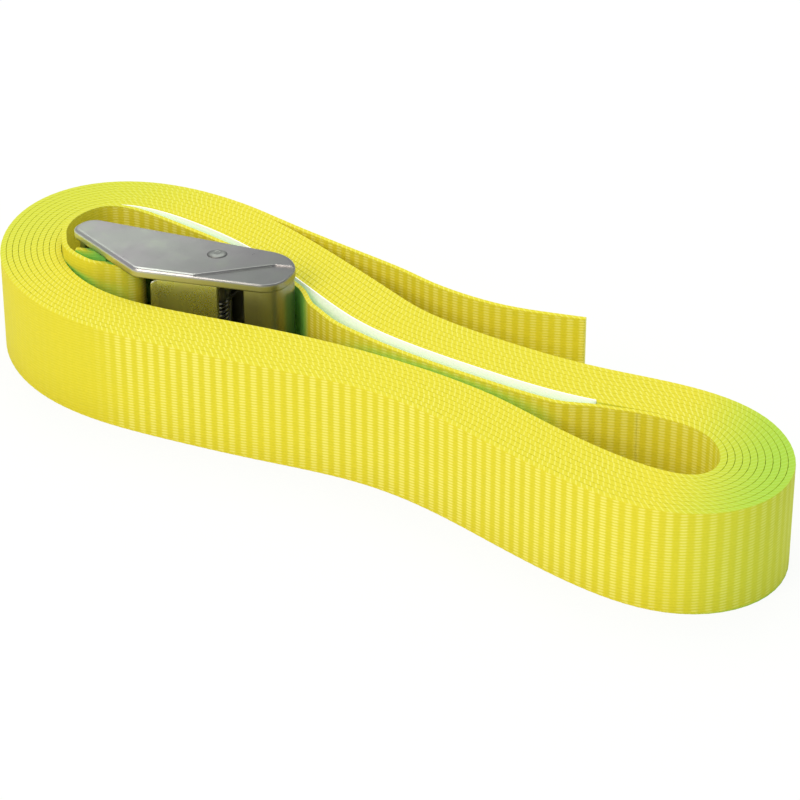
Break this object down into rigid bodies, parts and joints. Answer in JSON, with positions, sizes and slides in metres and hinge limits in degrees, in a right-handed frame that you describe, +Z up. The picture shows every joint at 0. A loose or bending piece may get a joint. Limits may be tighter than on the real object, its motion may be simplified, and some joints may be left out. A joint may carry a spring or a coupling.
{
  "type": "cam buckle lashing strap",
  "caption": "Flat webbing strap wound into an oval coil, with a metal cam buckle lying in the coil's left hollow and the free end standing off the back.",
  "frame": {"origin": "middle of the footprint of the whole strap, at the level it stands on", "axes": "+X along the coil's long axis to the right, +Y to its back, +Z up"},
  "size_m": [0.2282, 0.0795, 0.0325],
  "materials": {
    "zinc_casting": "satin zinc plating with rounded rims",
    "zinc_lever": "satin zinc plating",
    "plated_steel": "bright zinc plating",
    "spring_steel": "drawn spring wire",
    "yellow_webbing": "woven polyester, cross-ribbed",
    "white_label": "blank woven tape"
  },
  "bodies": {
    "strap": {"buckle_frame": "zinc_casting", "pivot_rivet": "plated_steel", "anchor_pin": "plated_steel", "torsion_spring": "spring_steel", "webbing_lead": "yellow_webbing", "webbing_coil": "yellow_webbing", "webbing_tail": "yellow_webbing", "label_strip": "white_label"},
    "lever": {"cam_lever": "zinc_lever"}
  },
  "joints": [
    {"name": "cam_lever_pivot", "type": "hinge", "parent": "strap", "child": "lever", "pos_m": [-0.048, -0.0012, 0.016], "axis": [0, 0, 1], "range_deg": [0, 45], "stiffness_Nm_per_rad": 0.06, "springref_deg": -20.05, "deforming": ["torsion_spring"]}
  ]
}
